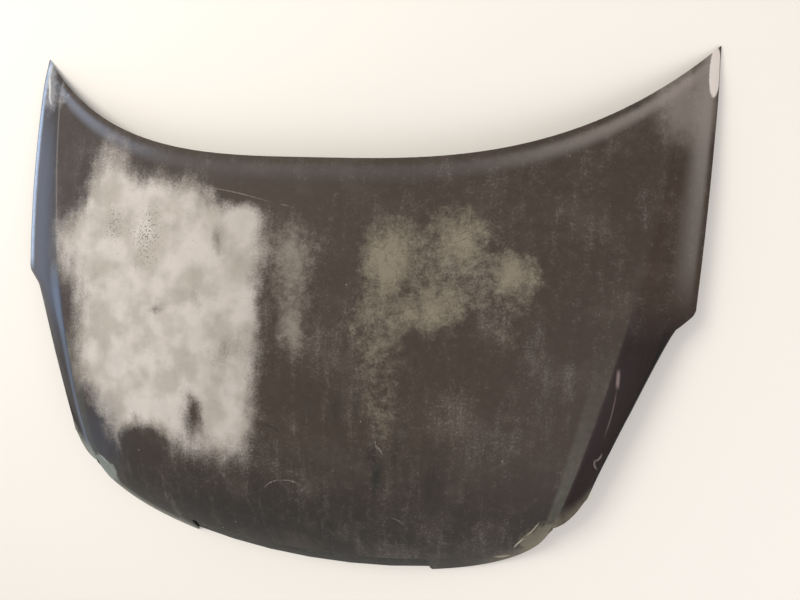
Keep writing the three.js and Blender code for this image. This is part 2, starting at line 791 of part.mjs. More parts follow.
function strikerLoop(level) {
  const half = strikerSpan / 2;
  const bend = strikerWire;
  const points = [[-half, -clearance], [-half, bend - strikerReach], [-half + bend, -strikerReach],
    [half - bend, -strikerReach], [half, bend - strikerReach], [half, -clearance]]
    .map(([x, z]) => new THREE.Vector3(x, 0, z));
  const route = new THREE.CurvePath();
  route.add(new THREE.LineCurve3(points[0], points[1]));
  const corner = new THREE.Vector3(-half, 0, -strikerReach);
  route.add(new THREE.QuadraticBezierCurve3(points[1], corner, points[2]));
  route.add(new THREE.LineCurve3(points[2], points[3]));
  route.add(new THREE.QuadraticBezierCurve3(points[3], new THREE.Vector3(half, 0, -strikerReach), points[4]));
  route.add(new THREE.LineCurve3(points[4], points[5]));
  const section = new THREE.Shape().absarc(0, 0, strikerWire / 2, 0, 2 * Math.PI);
  const geometry = new THREE.ExtrudeGeometry(section, { steps: 16, curveSegments: 4, extrudePath: route });
  geometry.translate(strikerSeat.x, strikerSeat.y, level);
  return bodyFromGeometry(geometry);
}

function rubberStop(seat) {
  const neck = stopStem / 2;
  const head = stopHead / 2;
  const above = frameSheet + clearance;
  const foot = -clearance - stopHeight;
  const geometry = turned([[0, foot], [head - stopRound, foot], [head, foot + stopRound], [head, -clearance],
    [neck, -clearance], [neck, above], [neck + stopLip, above], [neck, above + snapLength],
    [0, above + snapLength]], 10);
  geometry.translate(seat.x, seat.y, seat.level);
  return bodyFromGeometry(geometry);
}

function stayGrommet(seat) {
  const bore = stayBore / 2;
  const sleeve = bore + stayWall;
  const above = frameSheet + clearance;
  const foot = -clearance - stayFlangeSheet;
  const flange = stayFlange / 2;
  const geometry = turned([[bore, foot], [flange, foot], [flange, -clearance], [sleeve, -clearance],
    [sleeve, above], [sleeve + stayLip, above], [sleeve, above + snapLength], [bore, above + snapLength],
    [bore, foot]], 12);
  geometry.translate(seat.x, seat.y, seat.level);
  return bodyFromGeometry(geometry);
}

// A mastic pad fills the gap between the frame's brim and the skin.
function masticPad(x, y, direction) {
  const place = locate(x, y);
  const normal = skinNormal(place.side, place.across, place.v);
  const height = masticGap - 4 * clearance;
  const half = masticLong / 2 - masticWide / 2;
  const outline = new THREE.Shape();
  outline.absarc(half, 0, masticWide / 2, -Math.PI / 2, Math.PI / 2);
  outline.absarc(-half, 0, masticWide / 2, Math.PI / 2, 3 * Math.PI / 2);
  outline.closePath();
  const settings = { depth: height, bevelEnabled: false, curveSegments: 3 };
  const geometry = new THREE.ExtrudeGeometry(outline, settings);
  const xAxis = new THREE.Vector3(direction.x, direction.y, 0).projectOnPlane(normal).normalize();
  const yAxis = normal.clone().cross(xAxis);
  geometry.applyMatrix4(new THREE.Matrix4().makeBasis(xAxis, yAxis, normal));
  const seat = under(x, y, fieldDepth - clearance);
  geometry.translate(seat.x, seat.y, seat.z);
  return bodyFromGeometry(geometry);
}

// Pads lie on the brims: a few beside each long rib in each bay, and one on
// each side of the cross rib outside it.
function masticPlaces() {
  const slant = ribRear.clone().sub(ribFront).normalize();
  const beside = ribTop + ribBrim / 2;
  const bays = [[rearWindowY(0), crossRear], [crossFront, frontWindowY(0)]];
  const places = [];
  for (const [, side] of sides) {
    for (const [bayRear, bayFront] of bays) {
      for (let i = 0; i < padsInBay; i += 1) {
        const y = lerp(bayRear, bayFront, (i + 0.5) / padsInBay);
        places.push([side * (ribX(y) - beside), y, plan(side * slant.x, slant.y)]);
      }
    }
    for (const y of [crossY + beside, crossY - beside]) {
      const x = (ribX(y) + ribReach + ringLineX(y) - ringReach) / 2;
      places.push([side * x, y, plan(1, 0)]);
    }
  }
  return places;
}

function meshOf(name, body, material) {
  const { vertProperties, triVerts } = body.getMesh();
  const geometry = new THREE.BufferGeometry();
  geometry.setAttribute('position', new THREE.BufferAttribute(new Float32Array(vertProperties), 3));
  geometry.setIndex(Array.from(triVerts));
  geometry.computeVertexNormals();
  const mesh = new THREE.Mesh(geometry, material);
  mesh.name = name;
  return mesh;
}

const bonnet = new THREE.Group();
const skin = outerSkin();
const skinBox = skin.boundingBox();
const frame = innerFrame();
const frameBox = frame.boundingBox();
bonnet.position.y = -(skinBox.max[1] + frameBox.min[1]) / 2;
bonnet.position.z = -Math.min(skinBox.min[2], frameBox.min[2]);
bonnet.add(meshOf('outer_skin', skin, paintedSkin));
bonnet.add(meshOf('inner_frame', frame, paintedFrame));

const plateInset = 2 * (frameSheet + seatPlay);
for (const seat of hingeSeats) {
  const low = seat.level + frameSheet + clearance;
  const high = low + hingePlateSheet;
  const plate = drilledPlate(seat.x, seat.y, low, high,
    seat.sizeX - plateInset, seat.sizeY - plateInset, hingeBolts(seat));
  bonnet.add(meshOf(`hinge_plate_${seat.name}`, plate, platedSteel));
  hingeBolts(seat).forEach((p, i) => {
    bonnet.add(meshOf(`hinge_nut_${seat.name}_${i + 1}`, nutBody(p.x, p.y, high + clearance), platedSteel));
  });
}

const latchLow = strikerSeat.level + frameSheet + clearance;
const latchHigh = latchLow + hingePlateSheet;
const latchPlate = drilledPlate(strikerSeat.x, strikerSeat.y, latchLow, latchHigh,
  strikerSeat.sizeX - plateInset, strikerSeat.sizeY - plateInset, strikerBolts);
bonnet.add(meshOf('striker_backing_plate', latchPlate, platedSteel));
const strikerHigh = strikerSeat.level - clearance;
const strikerLow = strikerHigh - strikerPlateSheet;
const strikerPlate = drilledPlate(strikerSeat.x, strikerSeat.y, strikerLow, strikerHigh,
  strikerPlateLong, strikerPlateWide, strikerBolts);
bonnet.add(meshOf('striker_plate', strikerPlate, platedSteel));
bonnet.add(meshOf('striker_loop', strikerLoop(strikerLow), platedSteel));
strikerBolts.forEach((p, i) => {
  const boltSeat = strikerLow - clearance;
  const length = latchHigh + nutHeight - boltSeat;
  bonnet.add(meshOf(`striker_bolt_${i + 1}`, boltBody(p.x, p.y, boltSeat, length), platedSteel));
  bonnet.add(meshOf(`striker_nut_${i + 1}`, nutBody(p.x, p.y, latchHigh + clearance), platedSteel));
});

for (const seat of stopSeats) {
  bonnet.add(meshOf(`rubber_stop_${seat.name}`, rubberStop(seat), rubber));
}
bonnet.add(meshOf('stay_grommet', stayGrommet(staySeatPlace), plastic));

masticPlaces().forEach(([x, y, direction], i) => {
  bonnet.add(meshOf(`mastic_pad_${i + 1}`, masticPad(x, y, direction), mastic));
});

export default bonnet;
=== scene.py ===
import json
import math

import bmesh
import bpy
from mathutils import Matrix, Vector


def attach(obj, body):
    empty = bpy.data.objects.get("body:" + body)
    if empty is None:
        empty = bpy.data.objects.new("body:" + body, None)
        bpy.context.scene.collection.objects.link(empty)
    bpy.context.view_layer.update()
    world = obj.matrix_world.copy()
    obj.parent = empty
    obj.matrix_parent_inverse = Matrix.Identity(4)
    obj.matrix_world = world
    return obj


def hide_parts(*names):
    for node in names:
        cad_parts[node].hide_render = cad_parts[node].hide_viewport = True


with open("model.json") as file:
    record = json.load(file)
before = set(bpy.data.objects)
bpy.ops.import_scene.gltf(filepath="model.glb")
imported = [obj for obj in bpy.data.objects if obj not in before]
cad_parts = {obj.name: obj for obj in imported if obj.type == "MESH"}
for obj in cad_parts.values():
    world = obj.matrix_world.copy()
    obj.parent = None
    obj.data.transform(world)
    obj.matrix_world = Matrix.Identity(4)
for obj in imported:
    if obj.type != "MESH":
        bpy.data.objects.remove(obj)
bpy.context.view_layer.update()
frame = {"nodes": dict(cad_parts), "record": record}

# Outer skin
# The outer skin is one pressed steel sheet, 0.8 mm thick, painted on both sides.
# It is crowned both ways, sweeps back to two tips and folds round the frame's edge in a hem.

MM = 0.001

# The outline, in mm from the middle, with the nose towards -Y:
TIP = (710.0, 530.0)
REAR_MIDDLE = 285.0
REAR_BOW = 2.9
STEP = (689.0, 44.0)
NOTCH = (661.0, 18.0)
SIDE_BEND = (649.0, 24.0)
SIDE_END = (527.0, -296.0)
CORNER = (505.0, -350.0)
NOSE = -524.0
NOSE_FLAT = 212.0
NOSE_TURN = (445.0, -485.0)
CREASE_REAR = 644.0
CREASE_MIDDLE = (568.0, 20.0)
CREASE_FRONT = (473.0, -362.0)
RECESS_HALF = 257.0
RECESS_EASE = 12.0

# Where along the length, from 0 at the rear edge to 1 at the front, each form starts or ends:
STEP_SHARE = 0.5
STEP_REACH = 0.1
STEP_SOFTNESS = 0.003
NOTCH_SHARE = 0.53
NOSE_SHARE = 0.73
RECESS_SHARE = 0.94
CREASE_SHARE = 0.6
FLANK_ROUND_SHARE = 0.45
FLANK_FLAT_SHARE = 0.75
ROLL_SHARE = 0.09

# Heights, in mm:
CROWN = 128.0
CROWN_Y = 14.0
LENGTH_RADIUS = 3010.0
WIDTH_RADIUS = 2975.0
NOSE_DROP = 86.0
NOSE_CORNER_DROP = 14.0
NOSE_POWER = 2.6
FLANK_MIDDLE_DROP = 15.0
FLANK_FRONT_DROP = 12.0
ROLL_DROP = 5.0
BAND_WIDTH = 56.0
BAND_DROP = 6.0
BAND_START = 4.0

# The sheet and its hem, in mm, and the place of the outline's middle in the frame:
SHEET = 0.8
HEM_RADIUS = 1.65
HEM_WIDTH = 8.0
HEM_STEPS = 5
HEM_LEAST_REACH = 0.3
FRAME_ORIGIN = Vector((0.0, -6.228, 9.632))

# The grid, which has narrow cells where the form turns sharply:
HALF_COLUMNS = 65
RECESS_INNER_COLUMN = 24
RECESS_OUTER_COLUMN = 28
CREASE_COLUMN = 50
ROWS = 92


def clamp(value, low=0.0, high=1.0):
    return max(low, min(high, value))


def lerp(a, b, share):
    return a + (b - a) * share


def ramp(value, knots):
    """Straight lines between (input, output) knots."""
    for (x0, y0), (x1, y1) in zip(knots, knots[1:]):
        if value <= x1:
            return lerp(y0, y1, clamp((value - x0) / (x1 - x0)))
    return knots[-1][1]


def plan(x, y):
    return Vector((x, y, 0.0))


def bezier(share, *points):
    points = list(points)
    while len(points) > 1:
        points = [a.lerp(b, share) for a, b in zip(points, points[1:])]
    return points[0]


def rear_edge(x):
    return plan(x, REAR_MIDDLE + (TIP[1] - REAR_MIDDLE) * (abs(x) / TIP[0]) ** REAR_BOW)


def crease(along):
    """The line of the crease, from the rear edge to the front corner."""
    start = rear_edge(CREASE_REAR)
    end = plan(*CREASE_FRONT)
    turn = 2 * plan(*CREASE_MIDDLE) - (start + end) / 2
    return bezier(along, start, turn, end)


def side_line(along):
    if along <= STEP_SHARE:
        return plan(*TIP).lerp(plan(*STEP), along / STEP_SHARE)
    if along <= NOTCH_SHARE:
        return plan(*STEP).lerp(plan(*NOTCH), (along - STEP_SHARE) / (NOTCH_SHARE - STEP_SHARE))
    return bezier((along - NOTCH_SHARE) / (1 - NOTCH_SHARE), plan(*NOTCH), plan(*SIDE_BEND), plan(*SIDE_END))


def side_edge(along):
    """The side of the outline, with the step softly rounded."""
    if abs(along - STEP_SHARE) > STEP_REACH:
        return side_line(along)
    points = [side_line(along + STEP_SOFTNESS * k) for k in (-1.5, -0.5, 0.5, 1.5)]
    return sum(points, Vector()) / len(points)


def nose_edge(across):
    return bezier(across, plan(0, NOSE), plan(NOSE_FLAT, NOSE), plan(*NOSE_TURN), plan(*CREASE_FRONT))


def patch(u, v, left, right, rear, front):
    """A surface stretched between four edge curves."""
    across = left(v).lerp(right(v), u)
    along = rear(u).lerp(front(u), v)
    corners = rear(0).lerp(rear(1), u).lerp(front(0).lerp(front(1), u), v)
    return across + along - corners


def plan_point(across, along):
    """Across is 0 in the middle, 1 on the crease and 2 on the side edge."""
    if across <= 1:
        return patch(across, along, lambda v: plan(0, lerp(REAR_MIDDLE, NOSE, v)), crease,
                     lambda u: rear_edge(u * CREASE_REAR), nose_edge)
    return patch(across - 1, along, crease, side_edge,
                 lambda u: rear_edge(lerp(CREASE_REAR, TIP[0], u)),
                 lambda u: bezier(u, plan(*CREASE_FRONT), plan(*CORNER), plan(*SIDE_END)))


def sharpness(along):
    return clamp((along - CREASE_SHARE) / (1 - CREASE_SHARE))


def band_edge(along):
    """Where across the band beside the crease begins."""
    return 1 - lerp(BAND_START, BAND_WIDTH, sharpness(along)) / crease(along).x


def skin_point(across, along):
    """A point of the skin's upper face in metres. Across goes to 2 on both sides, along from 0 to 1."""
    side = abs(across)
    point = plan_point(side, along)
    nose_roll = max(0.0, (along - NOSE_SHARE) / (1 - NOSE_SHARE)) ** NOSE_POWER
    crisp = sharpness(along)
    if side <= 1:
        edge = band_edge(along)
        drop = lerp(NOSE_CORNER_DROP, NOSE_DROP, 1 - side ** 3) * nose_roll
        drop += crisp * BAND_DROP * max(0.0, (side - edge) / (1 - edge))
    else:
        flank = FLANK_MIDDLE_DROP * min(along / STEP_SHARE, 1.0)
        if along > STEP_SHARE:
            flank = lerp(FLANK_MIDDLE_DROP, FLANK_FRONT_DROP, (along - STEP_SHARE) / (1 - STEP_SHARE))
        flat = clamp((along - FLANK_ROUND_SHARE) / (FLANK_FLAT_SHARE - FLANK_ROUND_SHARE))
        inner = NOSE_CORNER_DROP * nose_roll + crisp * BAND_DROP
        drop = lerp(inner, flank, (side - 1) ** (2 - flat))
    roll = ROLL_DROP * max(0.0, 1 - along / ROLL_SHARE) ** 2
    point.z = (CROWN - (point.y - CROWN_Y) ** 2 / (2 * LENGTH_RADIUS) - point.x ** 2 / (2 * WIDTH_RADIUS)
               - roll - drop)
    point += FRAME_ORIGIN
    return Vector((math.copysign(point.x, across), point.y, point.z)) * MM


def nose_share_at(x):
    """The share across the nose edge at which it is x from the middle, found by halving."""
    low, high = 0.0, 1.0
    for _ in range(30):
        middle = (low + high) / 2
        if nose_edge(middle).x < x:
            low = middle
        else:
            high = middle
    return low


recess_inner = nose_share_at(RECESS_HALF - RECESS_EASE)
recess_outer = nose_share_at(RECESS_HALF)

# Grid row to share along: narrow cells at the rear roll, the step and the nose
row_knots = [(0, 0), (2, 0.006), (12, ROLL_SHARE), (40, 0.476), (46, NOTCH_SHARE), (47, 0.575),
             (48, CREASE_SHARE), (62, NOSE_SHARE), (89, 0.985), (ROWS, 1.0)]


def across_at(column, along):
    """Grid column to share across: narrow cells at the recess side, the band, the crease and the edge."""
    edge = band_edge(along)
    return ramp(column, [(0, 0), (RECESS_INNER_COLUMN, recess_inner), (RECESS_OUTER_COLUMN, recess_outer),
                         (44, min(edge - 0.006, 0.982)), (46, min(edge + 0.004, 0.988)), (49, 0.995),
                         (CREASE_COLUMN, 1.0), (51, 1.02), (63, 1.96), (HALF_COLUMNS, 2.0)])


def front_share(column):
    """How far a column reaches: the recess in the nose stops short of the full length."""
    step = clamp((column - RECESS_INNER_COLUMN) / (RECESS_OUTER_COLUMN - RECESS_INNER_COLUMN))
    return lerp(RECESS_SHARE, 1.0, step * step * (3 - 2 * step))


# Each vertex keeps its distance from the edges and the crease, for the painted highlights, reflections and
# shade in the paint and for its gloss
sheet = bmesh.new()
bmesh.ops.create_grid(sheet, x_segments=2 * HALF_COLUMNS, y_segments=ROWS, size=1)
labels = {name: sheet.verts.layers.float.new(name) for name in ("rear", "front", "crease", "side")}
for vertex in sheet.verts:
    column = abs(vertex.co.x) * HALF_COLUMNS
    along = ramp((1 - vertex.co.y) / 2 * ROWS, row_knots) * front_share(column)
    across = math.copysign(across_at(column, along), vertex.co.x)
    place = skin_point(across, along)
    vertex[labels["rear"]] = (place - skin_point(across, 0)).length
    vertex[labels["front"]] = (place - skin_point(across, 1)).length
    vertex[labels["side"]] = (place - skin_point(math.copysign(2, across), along)).length
    line = skin_point(math.copysign(1, across), along)
    vertex[labels["crease"]] = math.copysign((place - line).length, abs(place.x) - abs(line.x))
    vertex.co = place
bmesh.ops.recalc_face_normals(sheet, faces=sheet.faces)
if sum(face.normal.z for face in sheet.faces) < 0:
    bmesh.ops.reverse_faces(sheet, faces=sheet.faces)
sheet.normal_update()


def rim_loop(mesh):
    """The boundary vertices in order."""
    start = next(vertex for vertex in mesh.verts if vertex.is_boundary)
    loop = [start]
    while True:
        steps = [edge.other_vert(loop[-1]) for edge in loop[-1].link_edges if edge.is_boundary]
        onward = next((vertex for vertex in steps if len(loop) < 2 or vertex is not loop[-2]), None)
        if onward is start:
            return loop
        loop.append(onward)


# The hem: the rim turns down and back under in a half circle, and then lies flat. At sharp corners the
# flat part is narrower, so that it doesn't cross itself.
rim = rim_loop(sheet)
count = len(rim)
outward, normals, straight = [], [], []
for index, vertex in enumerate(rim):
    before = (vertex.co - rim[index - 1].co).normalized()
    after = (rim[(index + 1) % count].co - vertex.co).normalized()
    outward.append((before + after).cross(vertex.normal).normalized())
    normals.append(vertex.normal.copy())
    straight.append(clamp((before.dot(after) - 0.85) / 0.15))
for _ in range(3):
    outward = [(outward[index - 1] + outward[index] * 2 + outward[(index + 1) % count]).normalized()
               for index in range(count)]
nose_index = min(range(count), key=lambda index: rim[index].co.y)
if outward[nose_index].y > 0:
    outward = [-side for side in outward]
reach = [min(straight[(index + k) % count] for k in range(-3, 4)) for index in range(count)]
base = [vertex.co - outward[index] * HEM_RADIUS * MM for index, vertex in enumerate(rim)]
for vertex, place in zip(rim, base):
    vertex.co = place
fold = [(HEM_RADIUS * math.sin(angle), -HEM_RADIUS * (1 - math.cos(angle)))
        for angle in (math.radians(180 / HEM_STEPS * k) for k in range(1, HEM_STEPS + 1))]
fold += [(-HEM_WIDTH / 2, -2 * HEM_RADIUS), (-HEM_WIDTH, -2 * HEM_RADIUS)]
edge_row = rim
for out, down in fold:
    rim_edges = [edge for edge in sheet.edges if edge.is_boundary]
    made = bmesh.ops.extrude_edge_only(sheet, edges=rim_edges)["geom"]
    new_verts = {item for item in made if isinstance(item, bmesh.types.BMVert)}
    next_row = []
    for index, vertex in enumerate(edge_row):
        others = [edge.other_vert(vertex) for edge in vertex.link_edges]
        grown = next(other for other in others if other in new_verts)
        share = max(reach[index], HEM_LEAST_REACH) if out < 0 else 1.0
        grown.co = base[index] + (outward[index] * out * share + normals[index] * down) * MM
        next_row.append(grown)
    edge_row = next_row
for face in sheet.faces:
    face.smooth = True
skin_mesh = bpy.data.meshes.new("outer_skin_sheet")
sheet.to_mesh(skin_mesh)
sheet.free()
skin = bpy.data.objects.new("skin", skin_mesh)
bpy.context.scene.collection.objects.link(skin)
thickness = skin.modifiers.new("sheet", "SOLIDIFY")
thickness.thickness = SHEET * MM
thickness.offset = -1


# The finish is old brown-black paint: matte and dusty, so it hardly mirrors, with a clear coat
# that has bleached to milky grey in the middle left and in fainter clouds to the right.
# The underside is a plain dark primer.


def linear(hex_colour):
    channels = [int(hex_colour[i:i + 2], 16) / 255 for i in (1, 3, 5)]
    return tuple(c / 12.92 if c <= 0.04045 else ((c + 0.055) / 1.055) ** 2.4 for c in channels) + (1.0,)


def new_material(name, roughness, colour="#808080", metallic=0.0):
    material = bpy.data.materials.new(name)
    material.use_nodes = True
    inputs = material.node_tree.nodes["Principled BSDF"].inputs
    inputs["Base Color"].default_value = linear(colour)
    inputs["Roughness"].default_value = roughness
    inputs["Metallic"].default_value = metallic
    return material


def add(kind, inputs=None, **settings):
    """Adds a node to the tree in hand. Inputs are values or sockets, by name or number."""
    node = tree.nodes.new(kind)
    for name, value in settings.items():
        setattr(node, name, value)
    for name, value in (inputs or {}).items():
        if isinstance(value, bpy.types.NodeSocket):
            tree.links.new(value, node.inputs[name])
        else:
            node.inputs[name].default_value = value
    return node


paint = new_material("faded_paint", 0.62)
skin_mesh.materials.append(paint)
skin_mesh.materials.append(new_material("skin_underside", 0.6, "#2b2c2a"))
thickness.material_offset = 1
tree = paint.node_tree
shader = tree.nodes["Principled BSDF"]

# The place on the sheet in mm, and the same place moved by up to half of the drift, also in mm, which
# makes borders ragged
DRIFT = 70
where = add("ShaderNodeTexCoord").outputs["Object"]
to_mm = (1 / MM, 1 / MM, 0)
where = add("ShaderNodeVectorMath", {0: where, 1: to_mm}, operation="MULTIPLY").outputs[0]
drift = add("ShaderNodeTexNoise", {"Vector": where, "Scale": 1 / DRIFT, "Detail": 5, "Roughness": 0.6})
middle = (0.5, 0.5, 0.5)
drift = add("ShaderNodeVectorMath", {0: drift.outputs["Color"], 1: middle}, operation="SUBTRACT")
drift_reach = (DRIFT, DRIFT, 0)
drift = add("ShaderNodeVectorMath", {0: drift.outputs[0], 1: drift_reach}, operation="MULTIPLY").outputs[0]
ragged = add("ShaderNodeVectorMath", {0: where, 1: drift}, operation="ADD").outputs[0]
x, y, _ = add("ShaderNodeSeparateXYZ", {0: where}).outputs
ragged_x, ragged_y, _ = add("ShaderNodeSeparateXYZ", {0: ragged}).outputs


def total(*amounts):
    result = amounts[0]
    for amount in amounts[1:]:
        result = add("ShaderNodeMath", {0: result, 1: amount}, operation="ADD").outputs[0]
    return result


def product(*amounts):
    result = amounts[0]
    for amount in amounts[1:]:
        result = add("ShaderNodeMath", {0: result, 1: amount}, operation="MULTIPLY").outputs[0]
    return result


def fade(measure, start, end, at_start=0.0, at_end=1.0, soft=True):
    """How strongly something shows as a measure goes from start to end, held level beyond them."""
    inputs = {"Value": measure, "From Min": start, "From Max": end, "To Min": at_start, "To Max": at_end}
    kind = "SMOOTHSTEP" if soft else "LINEAR"
    return add("ShaderNodeMapRange", inputs, interpolation_type=kind).outputs["Result"]


def cover(under, amount, over):
    """Lays one tone over another, by an amount up to 1. A tone is a hex colour or a socket."""
    under, over = [linear(tone) if isinstance(tone, str) else tone for tone in (under, over)]
    return add("ShaderNodeMix", {0: amount, 6: under, 7: over}, data_type="RGBA").outputs[2]


def cloud(size_mm, detail=4.0, roughness=0.6, stretch=1.0, offset=0.0):
    """Clouds over the plan; a stretch above 1 draws them out along the car."""
    place = add("ShaderNodeMapping", {"Vector": where, "Location": (offset, offset, 0),
                                      "Scale": (1, 1 / stretch, 1)}).outputs[0]
    inputs = {"Vector": place, "Scale": 1 / size_mm, "Detail": detail, "Roughness": roughness}
    return add("ShaderNodeTexNoise", inputs).outputs["Fac"]


def distance(name):
    """Millimetres from an edge of the skin, or outward from the crease."""
    metres = add("ShaderNodeAttribute", attribute_name=name).outputs["Fac"]
    return product(metres, 1 / MM)


def spot(x, y, wide, long, turn=0.0, over=None):
    """A soft ellipse, 1 in its middle and 0 at its rim."""
    place = add("ShaderNodeMapping", {"Vector": over or ragged, "Location": (x, y, 0),
                                      "Rotation": (0, 0, math.radians(turn)),
                                      "Scale": (wide, long, 1)}, vector_type="TEXTURE").outputs[0]
    return add("ShaderNodeTexGradient", {"Vector": place}, gradient_type="SPHERICAL").outputs["Fac"]


def spots(*rows):
    """Soft ellipses, each row a place, half width, half length and strength."""
    return [product(spot(*row[:4]), row[4]) for row in rows]


def stroke(start, end, wide, bend=0.0):
    """A line from start to end in plan, for a worn scratch or a painted reflection, thinning at its ends and
    bowed to one side.
    """
    (x0, y0), (x1, y1) = start, end
    half = math.hypot(x1 - x0, y1 - y0) / 2
    place = add("ShaderNodeMapping", {"Vector": where, "Location": ((x0 + x1) / 2, (y0 + y1) / 2, 0),
                                      "Rotation": (0, 0, math.atan2(y1 - y0, x1 - x0)),
                                      "Scale": (half, wide, 1)}, vector_type="TEXTURE").outputs[0]
    lengthwise, sideways, _ = add("ShaderNodeSeparateXYZ", {0: place}).outputs
    bow = product(lengthwise, lengthwise, bend / wide)
    sideways = total(sideways, bow, -bend / wide / 2)
    from_middle = add("ShaderNodeMath", {0: lengthwise}, operation="ABSOLUTE").outputs[0]
    from_line = add("ShaderNodeMath", {0: sideways}, operation="ABSOLUTE").outputs[0]
    return product(fade(from_middle, 1, 0.3), fade(from_line, 1, 0.0))


rear, front, beside, flank = distance("rear"), distance("front"), distance("side"), distance("crease")
grain = cloud(4, 3, 0.7)
fine = cloud(14, 5, 0.7, offset=300)
soft = cloud(130, 3, 0.5, offset=900)
streaks = cloud(22, 4, 0.6, stretch=6, offset=500)

# The paint that isn't bleached: brown-black, darker to the nose, uneven and faintly streaked lengthwise
colour = cover("#40362f", fade(total(y, product(soft, 160)), -120, -380), "#2f2c29")
colour = cover(colour, product(fade(soft, 0.45, 0.75), 0.4), "#4e453f")
colour = cover(colour, product(fade(fine, 0.5, 0.8), 0.3), "#5a514b")
colour = cover(colour, product(fade(fine, 0.5, 0.25), 0.3), "#292320")
colour = cover(colour, product(fade(streaks, 0.55, 0.8), fade(y, 60, -160), 0.25), "#615a52")
shade = product(fade(cloud(26, 4, 0.6, stretch=5, offset=820), 0.5, 0.72), fade(y, -60, -240))
colour = cover(colour, product(shade, spot(120, -300, 260, 260), 0.9), "#23231f")
blush = product(fade(cloud(90, 4, 0.6, offset=760), 0.5, 0.7), fade(grain, 0.3, 0.7, 0.4, 1.0))
colour = cover(colour, product(blush, 0.22), "#6a6058")

# Painted highlights beside the rear edge and down the right side behind the step, painted reflections on both
# rear tips, and a painted blue reflection beside the left edge behind the step
# Painted highlight along the soft roll beside the rear edge, blue-grey on the left and greyer on the right
band = product(fade(rear, 6, 22), fade(rear, 52, 26), fade(total(rear, product(fine, 30)), 8, 40))
colour = cover(colour, product(band, fade(x, -240, -600, 0.06, 0.7)), "#747b8a")
colour = cover(colour, product(band, fade(x, 200, 600, 0.06, 0.75)), "#857c76")
# Painted highlight in a strip inboard of the right edge behind the step
right_side_highlight = product(fade(beside, 6, 22), fade(beside, 75, 26), fade(y, 20, 140), fade(x, 0, 200))
colour = cover(colour, product(right_side_highlight, fade(y, 100, 420, 0.4, 0.8)), "#857d78")
# Painted reflection on the right rear tip
right_tip_reflection = product(spot(650, 405, 80, 105, 0, where), fade(fine, 0.2, 0.6, 0.7, 1.0))
colour = cover(colour, product(fade(right_tip_reflection, 0.0, 0.75), 0.62), "#8c837c")
# Painted blue reflection in a strip beside the left edge behind the step
left_edge_reflection = product(fade(beside, 3, 8), fade(beside, 28, 12), fade(x, 0, -200), fade(y, 26, 70),
                     fade(fine, 0.2, 0.6, 0.6, 1.0))
colour = cover(colour, product(left_edge_reflection, 0.75), "#a9c1e2")
# Painted whitish reflections on the rear tips: a narrow streak along the right tip's edge and a pale patch on
# the left tip
right_tip_edge_reflection = fade(total(spot(698, 470, 13, 62, -4, where), product(fine, 0.3), -0.15), 0.15, 0.3)
left_tip_reflection = total(product(spot(-682, 462, 26, 100, 10), 1.1), product(spot(-645, 428, 46, 34), 0.6))
colour = cover(colour, product(fade(total(left_tip_reflection, fine, -0.6), 0.0, 1.0), 0.8), "#d2d3d6")
colour = cover(colour, product(right_tip_edge_reflection, 0.85), "#e2d8d1")

# The bleached field: a block with ragged soft borders, a peak at the top and a bump at the left.
# A negative strength takes some of the bleaching away again.
field = product(fade(ragged_x, -570, -440), fade(ragged_x, -52, -132),
                fade(ragged_y, 258, 150), fade(ragged_y, -345, -215))
field = total(field, *spots(
    (-452, 228, 75, 110, 0.95), (-540, 100, 95, 95, 0.8), (-345, 215, 120, 60, 0.6),
    (-330, -290, 66, 60, -1.2), (-490, -270, 100, 100, -1.0), (-130, 215, 120, 50, -0.8),
    (-216, -220, 42, 56, -0.5), (-310, -20, 32, 24, -0.6), (-215, 0, 34, 60, -0.35),
    (-152, -90, 50, 50, -0.5), (-215, -200, 40, 80, -0.4), (-290, -130, 90, 60, -0.22),
    (-168, 8, 30, 44, -0.4), (-175, 110, 26, 60, -0.45), (-205, -230, 60, 50, -0.4),
    (-400, -210, 80, 80, 0.3)))
ragged_field = total(product(field, 1.25), product(grain, 0.85), product(fine, 0.4),
                     product(streaks, 0.6), product(soft, 0.5), -1.25)
bleached = product(fade(ragged_field, -0.1, 1.08),
                   fade(cloud(48, 4, 0.55, offset=210), 0.25, 0.6, 0.86, 1.0),
                   fade(x, -330, -110, 1.0, 0.86))
milky = cover("#b3aba1", fade(cloud(75, 3, 0.5, offset=40), 0.38, 0.62), "#cbc3bb")
colour = cover(colour, product(bleached, 0.97), milky)

# Fainter clouds: one beside the field, and a yellowish mottled group to the right of the middle
faint = total(*spots((-30, 100, 75, 75, 1), (-20, 15, 55, 80, 0.7), (-14, -48, 45, 60, 0.85)))
faint = product(faint, 1.05)
faint_amount = fade(total(faint, product(fine, 1.2), product(grain, 0.7), -1.0), 0.0, 1.2)
colour = cover(colour, product(faint_amount, fade(faint, 0.02, 0.35), 0.8), "#8d857a")
yellow = total(*spots(
    (150, 60, 75, 150, 0.8), (158, 108, 70, 80, 1), (262, 70, 80, 150, 0.75), (235, 16, 75, 42, 1),
    (282, 142, 70, 75, 1), (366, 66, 70, 100, 0.6), (370, 88, 65, 50, 1), (360, -22, 55, 36, 0.4),
    (150, -60, 70, 120, 0.6), (160, -180, 60, 100, 0.45)))
mottle = cloud(34, 5, 0.7, stretch=1.6, offset=640)
yellow_place = fade(yellow, 0.02, 0.4)
yellow = total(product(yellow, 0.75), product(mottle, 1.7), product(fine, 1.3), product(grain, 0.9), -2.05)
colour = cover(colour, product(fade(yellow, -0.15, 1.1), yellow_place, 0.78), "#8c8472")

